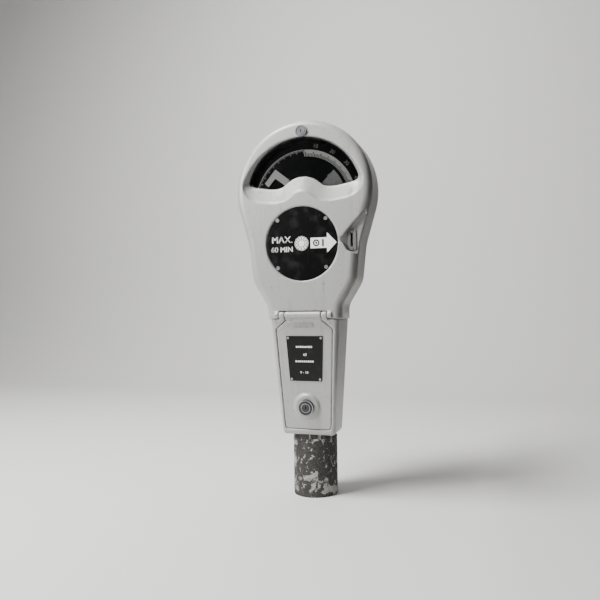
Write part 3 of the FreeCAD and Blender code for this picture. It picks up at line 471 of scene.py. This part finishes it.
MAKERS = {
    "casting": painted_casting,
    "enamel": black_enamel,
    "marking": white_marking,
    "post": flaking_post,
    "glass": window_glass,
    # zinc plate on turned steel: soft bright grey, worn darker in patches
    "steel": lambda: metal("zinc_plated_turned_steel", colours().steel, 0.28, 0.48, 0.5, (1.0, 0.15, 1.0)),
    # case-hardened lock steel handled for years: nearly black, glossy where it is rubbed
    "lock": lambda: metal("worn_burnished_lock_steel", linear("#4C4C4D"), 0.22, 0.5, 0.7, EVEN, 0.1),
    # nickel plate gone dull in the weather
    "nickel": lambda: metal("dulled_nickel_plate", linear("#77777A"), 0.38, 0.6, 0.6, EVEN),
    # rolled sheet: long fine lines
    "sheet": lambda: metal("rolled_galvanised_sheet", linear("#8E8F90"), 0.3, 0.5, 0.4, (1.0, 1.0, 0.05)),
    # lacquered clock brass: warm, fine grain
    "brass": lambda: metal("lacquered_clock_brass", colours().brass, 0.25, 0.42, 0.4, (1.0, 1.0, 0.1)),
    # grey spray paint on the flag's sheet and in the dial's numerals: flat, no metal in it
    "grey": lambda: metal("grey_sprayed_aluminium_sheet", linear("#B9BABB"), 0.5, 0.7, 0.6, EVEN,
                          metallic=0.0),
}
FINISHES = {}


def finish_of(key):
    """The finish of that name, made the first time it is asked for."""
    if key not in FINISHES:
        FINISHES[key] = MAKERS[key]()
    return FINISHES[key]


CARRIED = {  # frame nodes kept as they are, by finish
    "steel": ["post_set_screws", "hinge_pin", "shell_screws", "rear_ring_screws", "movement_pillars",
              "movement_screws", "dial_posts", "dial_screws", "retainer_screws", "disc_screws",
              "slot_plate_screws", "cover_lock_nut", "info_plate_rivets", "number_plate_rivets",
              "door_lock_nut", "glass_retainer", "number_plate", "coin_slot_plate"],
    "nickel": ["cover_lock_barrel", "cover_lock_plug"],
    "lock": ["cover_lock_cam", "door_lock_plug", "door_lock_cam", "door_lock_barrel"],
    "sheet": ["coin_chute", "cash_box", "cash_box_lid", "cash_box_handle", "rear_glass_ring"],
    "brass": ["movement_front_plate", "movement_back_plate", "pointer_arbor",
              "intermediate_wheel", "escape_wheel", "balance_wheel"],
    "glass": ["rear_glass", "front_glass"],
    "enamel": ["dial_plate", "info_plate", "instruction_disc"],
    "marking": ["dial_scale", "pointer", "direction_arrow", "centre_badge"],
    "grey": ["overtime_flag"],
    "post": ["post_stub"],
}


# ---- pieces ----------------------------------------------------------------
def recast(node, name, body, passes, grain=None):
    """Copy of a frame casting, re-surfaced on an even grid and softened, so its edges are rounded as a
    casting's are. With no passes the copy is only joined up and shaded smooth."""
    copy = bpy.data.objects.new(name + "_work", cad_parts[node].data.copy())
    bpy.context.scene.collection.objects.link(copy)
    join_up(copy.data)
    if passes:
        grid = copy.modifiers.new("grid", "REMESH")
        grid.mode, grid.voxel_size = "VOXEL", grain or sizes().casting_voxel
        soft = copy.modifiers.new("soft", "SMOOTH")
        soft.factor, soft.iterations = 0.5, passes
    mesh = evaluated(copy)
    old = copy.data
    bpy.data.objects.remove(copy)
    bpy.data.meshes.remove(old)
    dress(bpy.data.objects.new(name, mesh), finish_of("casting"), body, (node,),
          sharp=60.0 if passes else 32.0)


class METER_OT_castings(bpy.types.Operator):
    """Builds the four painted castings: cover, rear shell, lower housing and cash door"""

    bl_idname = "meter.castings"
    bl_label = "Castings"

    def execute(self, context):
        passes = sizes().casting_soften
        recast("front_cover", "cover_casting", "cover", passes)
        recast("rear_shell", "rear_casting", "housing", 0)
        recast("lower_housing", "vault_casting", "housing", passes, 1.3 * sizes().casting_voxel)
        recast("cash_door", "door_casting", "door", max(1, passes - 1))
        return {"FINISHED"}


class METER_OT_carried(bpy.types.Operator):
    """Gives the frame's own small parts their finishes"""

    bl_idname = "meter.carried"
    bl_label = "Small parts"

    def execute(self, context):
        for key, nodes in CARRIED.items():
            for n in nodes:
                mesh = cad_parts[n].data
                mesh.materials.clear()
                mesh.materials.append(finish_of(key))
        return {"FINISHED"}


class METER_OT_dial(bpy.types.Operator):
    """Builds the dial's ticks, arc and numerals"""

    bl_idname = "meter.dial"
    bl_label = "Dial"

    def execute(self, context):
        s = sizes()
        centre = (0.0, (ARBOR_LOW.z + ARBOR_HIGH.z) / 2)
        band, plate = SCALE_LOW.y, SCALE_HIGH.y
        ink = 0.15 * MM
        r, half_line = s.dial_radius, 0.35 * MM
        arc_from, arc_to = -98, -1  # degrees clockwise from the top
        arc = ring_plate(r - half_line, r + half_line, arc_from, arc_to, centre, plate - ink, plate)
        ticks = tick_marks((r - 5.0 * MM, r), (r - 2.6 * MM, r),
                           arc_from, arc_to - arc_from, 0.26, centre, plate - ink, plate)
        piece("dial_arc_and_ticks", [arc] + ticks, "marking", "housing")
        r, edge = s.band_inner, 0.05 * MM
        ticks = tick_marks((r + edge, r + 6.2 * MM), (r + edge, r + 4.0 * MM),
                           1.5, 114, 0.42, centre, band - INK, band)
        piece("scale_ticks", ticks, "enamel", "housing")
        r, first, step = s.dial_radius + 5.2 * MM, 12, 19  # numerals' circle and their angles in degrees
        figures = []
        for k in range(6):
            a = math.radians(first + k * step)
            x, z = centre[0] + r * math.sin(a), centre[1] + r * math.cos(a)
            figures.append(lettering(str(10 + 10 * k), 5.4 * MM, x, z, plate, ink, a))
        piece("dial_numerals", figures, "grey", "housing")
        return {"FINISHED"}


class METER_OT_disc(bpy.types.Operator):
    """Builds the marks on the instruction disc, arrow and badge"""

    bl_idname = "meter.disc"
    bl_label = "Disc marks"

    def execute(self, context):
        x, y, z = DISC_CENTRE.x, DISC_LOW.y, DISC_CENTRE.z
        # each line is laid twice, a little apart, which thickens its strokes
        lines = [lettering(text, tall * MM, x + (left + shift) * MM, z + up * MM, y, 0.2 * MM)
                 for text, tall, left, up in (("MAX.", 9.0, -27.0, 5.2), ("60 MIN", 7.2, -27.2, -7.6))
                 for shift in (-0.2, 0.2)]
        piece("time_limit_marks", lines, "marking", "cover")
        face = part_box("direction_arrow")[0].y
        coin = (x + 20 * MM, z)
        rim = ring_plate(2.7 * MM, 4.4 * MM, 0, 360, coin, face - INK, face, 49)
        middle = ring_plate(0.01 * MM, 1.4 * MM, 0, 360, coin, face - INK, face, 33)
        slot = block(x + 28 * MM, z - 4.6 * MM, 2.2 * MM, 9.2 * MM, face - INK, face)
        piece("coin_sign", [rim, middle, slot], "enamel", "cover")
        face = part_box("centre_badge")[0].y
        front = face - 0.1 * MM
        marks = [ring_plate(r0 * MM, r1 * MM, 0, 360, (x, z), front, face, 65)
                 for r0, r1 in ((8.6, 9.2), (4.4, 5.0))]
        marks += [ring_plate(5.6 * MM, 8.0 * MM, petal - 4, petal + 4, (x, z), front, face, 3)
                  for petal in range(0, 360, 30)]
        piece("badge_marks", marks, "enamel", "cover")
        return {"FINISHED"}


def bars(width):
    """Left edges and widths of a row of short blocks, as a line of generic print: widths cycle
    through a few values."""
    out, x, k = [], -width / 2, 0
    while x < width / 2 - 1:
        w = (2.2, 1.6, 2.6, 1.9)[k % 4]
        out.append((x, w))
        x += w + 0.8
        k += 1
    return out


class METER_OT_plate(bpy.types.Operator):
    """Builds the printed rows on the info plate"""

    bl_idname = "meter.plate"
    bl_label = "Info plate rows"

    def execute(self, context):
        rows = []
        for up, width, tall in ((0.74, 24, 2.3), (0.42, 27, 2.1)):
            z = PLATE_LOW.z + up * PLATE_HEIGHT
            rows += [block(a * MM, z, w * MM, tall * MM, 0, INK) for a, w in bars(width)]
        for text, tall, x, up in (("60", 3.6, 0, 0.585), ("9 - 18", 3.4, -2, 0.19)):
            rows.append(lettering(text, tall * MM, x * MM, PLATE_LOW.z + up * PLATE_HEIGHT, INK, INK))
        v, f = merge(rows)
        # the plate leans: its face moves forward with height
        v[:, 1] += PLATE_LOW.y + (PLATE_HIGH.z - v[:, 2]) / PLATE_HEIGHT * PLATE_DEPTH - INK
        piece("info_rows", [(v, f)], "marking", "door")
        return {"FINISHED"}


class METER_OT_lock_rings(bpy.types.Operator):
    """Builds the rubbed bright rings on the cash door's lock"""

    bl_idname = "meter.lock_rings"
    bl_label = "Lock rings"

    def execute(self, context):
        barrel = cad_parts["door_lock_barrel"].data
        points = np.empty(len(barrel.vertices) * 3)
        barrel.vertices.foreach_get("co", points)
        points = points.reshape(-1, 3)
        lean = math.atan2(PLATE_DEPTH, PLATE_HEIGHT)
        out = np.array([0.0, -math.cos(lean), -math.sin(lean)])
        reach = points @ out
        face = points[reach > reach.max() - 0.1 * MM]
        centre = (face.min(0) + face.max(0)) / 2
        rings = []
        for r0, r1 in ((9.35, 10.35), (5.5, 6.3)):
            loop = ((r0, -0.1), (r0, 0.1), ((r0 + r1) / 2, 0.22), (r1, 0.1), (r1, -0.1), (r0, -0.1))
            rings.append(turned(np.array(loop) * MM, centre, out))
        piece("door_lock_rings", rings, "steel", "door", smooth=True)
        return {"FINISHED"}


class METER_OT_stage(bpy.types.Operator):
    """Sets the pale floor and backdrop, the soft lights and the camera"""

    bl_idname = "meter.stage"
    bl_label = "Stage"

    def execute(self, context):
        # backdrop: a flat floor that turns up through a quarter circle into a wall
        turn_y, turn_r, front_y, top_z, half_width = 0.9, 0.6, -7.0, 5.0, 7.0
        bend = np.linspace(0.05, math.pi / 2, 24)
        corner = np.column_stack([turn_y + turn_r * np.sin(bend), turn_r - turn_r * np.cos(bend)])
        run = np.concatenate([[[front_y, 0.0], [turn_y, 0.0]], corner, [[turn_y + turn_r, top_z]]])
        y, x = np.meshgrid(run[:, 0], np.linspace(-half_width, half_width, 9), indexing="ij")
        v, f = surface(np.stack([x, y, np.repeat(run[:, 1:], 9, 1)], -1))
        floor = stage_piece("backdrop", (v, f[:, ::-1]), smooth=True)
        m, t = new_material("matt_backdrop_paper")
        close(t, add(t, "ShaderNodeBsdfPrincipled", Roughness=0.9, Base_Color=tuple(colours().floor)))
        floor.data.materials.append(m)
        # black board beside the object, out of sight and casting no shadow, which keeps the floor's glow
        # off that side
        edge = np.linspace(0.0, 1.0, 5)
        y, z = np.meshgrid(-0.45 + 0.95 * edge, 0.09 + 0.60 * edge, indexing="ij")
        board = stage_piece("black_board", surface(np.stack([np.full_like(y, 0.22), y, z], -1)))
        board.visible_camera = board.visible_shadow = False
        m, t = new_material("black_flocked_board")
        close(t, add(t, "ShaderNodeBsdfPrincipled", Roughness=1.0, Base_Color=(0.004, 0.004, 0.004, 1.0)))
        board.data.materials.append(m)
        for name, place, size, power, aim in (
                ("key", (-1.15, -1.20, 0.95), 0.55, 32.0, (0, 0, 0.3)),
                ("top", (-0.55, -0.42, 1.45), 0.5, 34.0, (0, 0, 0.35)),
                ("wall", (-0.2, 0.45, 1.6), 1.2, 9.0, (-0.2, 1.5, 0.45))):
            lamp = bpy.data.lights.new(name, "AREA")
            lamp.shape, lamp.size, lamp.energy = "SQUARE", size, power
            o = bpy.data.objects.new(name, lamp)
            o.location = place
            o.rotation_mode = "QUATERNION"
            o.rotation_quaternion = (Vector(aim) - Vector(place)).to_track_quat("-Z", "Y")
            context.scene.collection.objects.link(o)
        world = bpy.data.worlds.new("studio")
        world.use_nodes = True
        t = world.node_tree
        t.nodes.clear()
        # faint as a light, but pale where it is seen past the backdrop
        light = add(t, "ShaderNodeBackground", Color=(0.9, 0.9, 0.9, 1.0), Strength=0.05)
        seen = add(t, "ShaderNodeBackground", Color=(0.9, 0.9, 0.9, 1.0), Strength=0.6)
        path = add(t, "ShaderNodeLightPath")
        both = add(t, "ShaderNodeMixShader", {0: (path, "Is Camera Ray"), 1: (light, 0), 2: (seen, 0)})
        add(t, "ShaderNodeOutputWorld", {"Surface": (both, 0)})
        context.scene.world = world
        lens = bpy.data.cameras.new("camera")
        lens.sensor_width, lens.lens = 36.0, 38.88
        lens.clip_start = 0.01
        camera = bpy.data.objects.new("camera", lens)
        swing, roll = math.radians(17.4), math.radians(0.8)
        look = Vector((-math.sin(swing), math.cos(swing), 0))
        camera.location = (0.2511, -0.8644, 0.2661)
        turn = look.to_track_quat("-Z", "Y").to_matrix() @ Matrix.Rotation(-roll, 3, "Z")
        camera.rotation_euler = turn.to_euler()
        context.scene.collection.objects.link(camera)
        context.scene.camera = camera
        return {"FINISHED"}


class METER_PT_panel(bpy.types.Panel):
    """Sidebar list of the meter's pieces"""

    bl_idname = "METER_PT_panel"
    bl_label = "Parking meter"
    bl_space_type = "VIEW_3D"
    bl_region_type = "UI"
    bl_category = "Parking meter"

    def draw(self, context):
        for group in (context.scene.meter_sizes, context.scene.meter_colours):
            for key in group.bl_rna.properties.keys():
                if key not in {"rna_type", "name"}:
                    self.layout.prop(group, key)
        for op in OPERATORS:
            self.layout.operator(op.bl_idname)


OPERATORS = (METER_OT_castings, METER_OT_carried, METER_OT_dial, METER_OT_disc, METER_OT_plate,
             METER_OT_lock_rings, METER_OT_stage)
CLASSES = (MeterSizes, MeterColours, *OPERATORS, METER_PT_panel)


def register():
    for c in CLASSES:
        bpy.utils.register_class(c)
    bpy.types.Scene.meter_sizes = bpy.props.PointerProperty(type=MeterSizes)
    bpy.types.Scene.meter_colours = bpy.props.PointerProperty(type=MeterColours)


def unregister():
    del bpy.types.Scene.meter_colours
    del bpy.types.Scene.meter_sizes
    for c in reversed(CLASSES):
        bpy.utils.unregister_class(c)


def main():
    register()
    for op in OPERATORS:
        getattr(bpy.ops.meter, op.bl_idname.split(".")[1])()


if __name__ == "__main__":
    main()
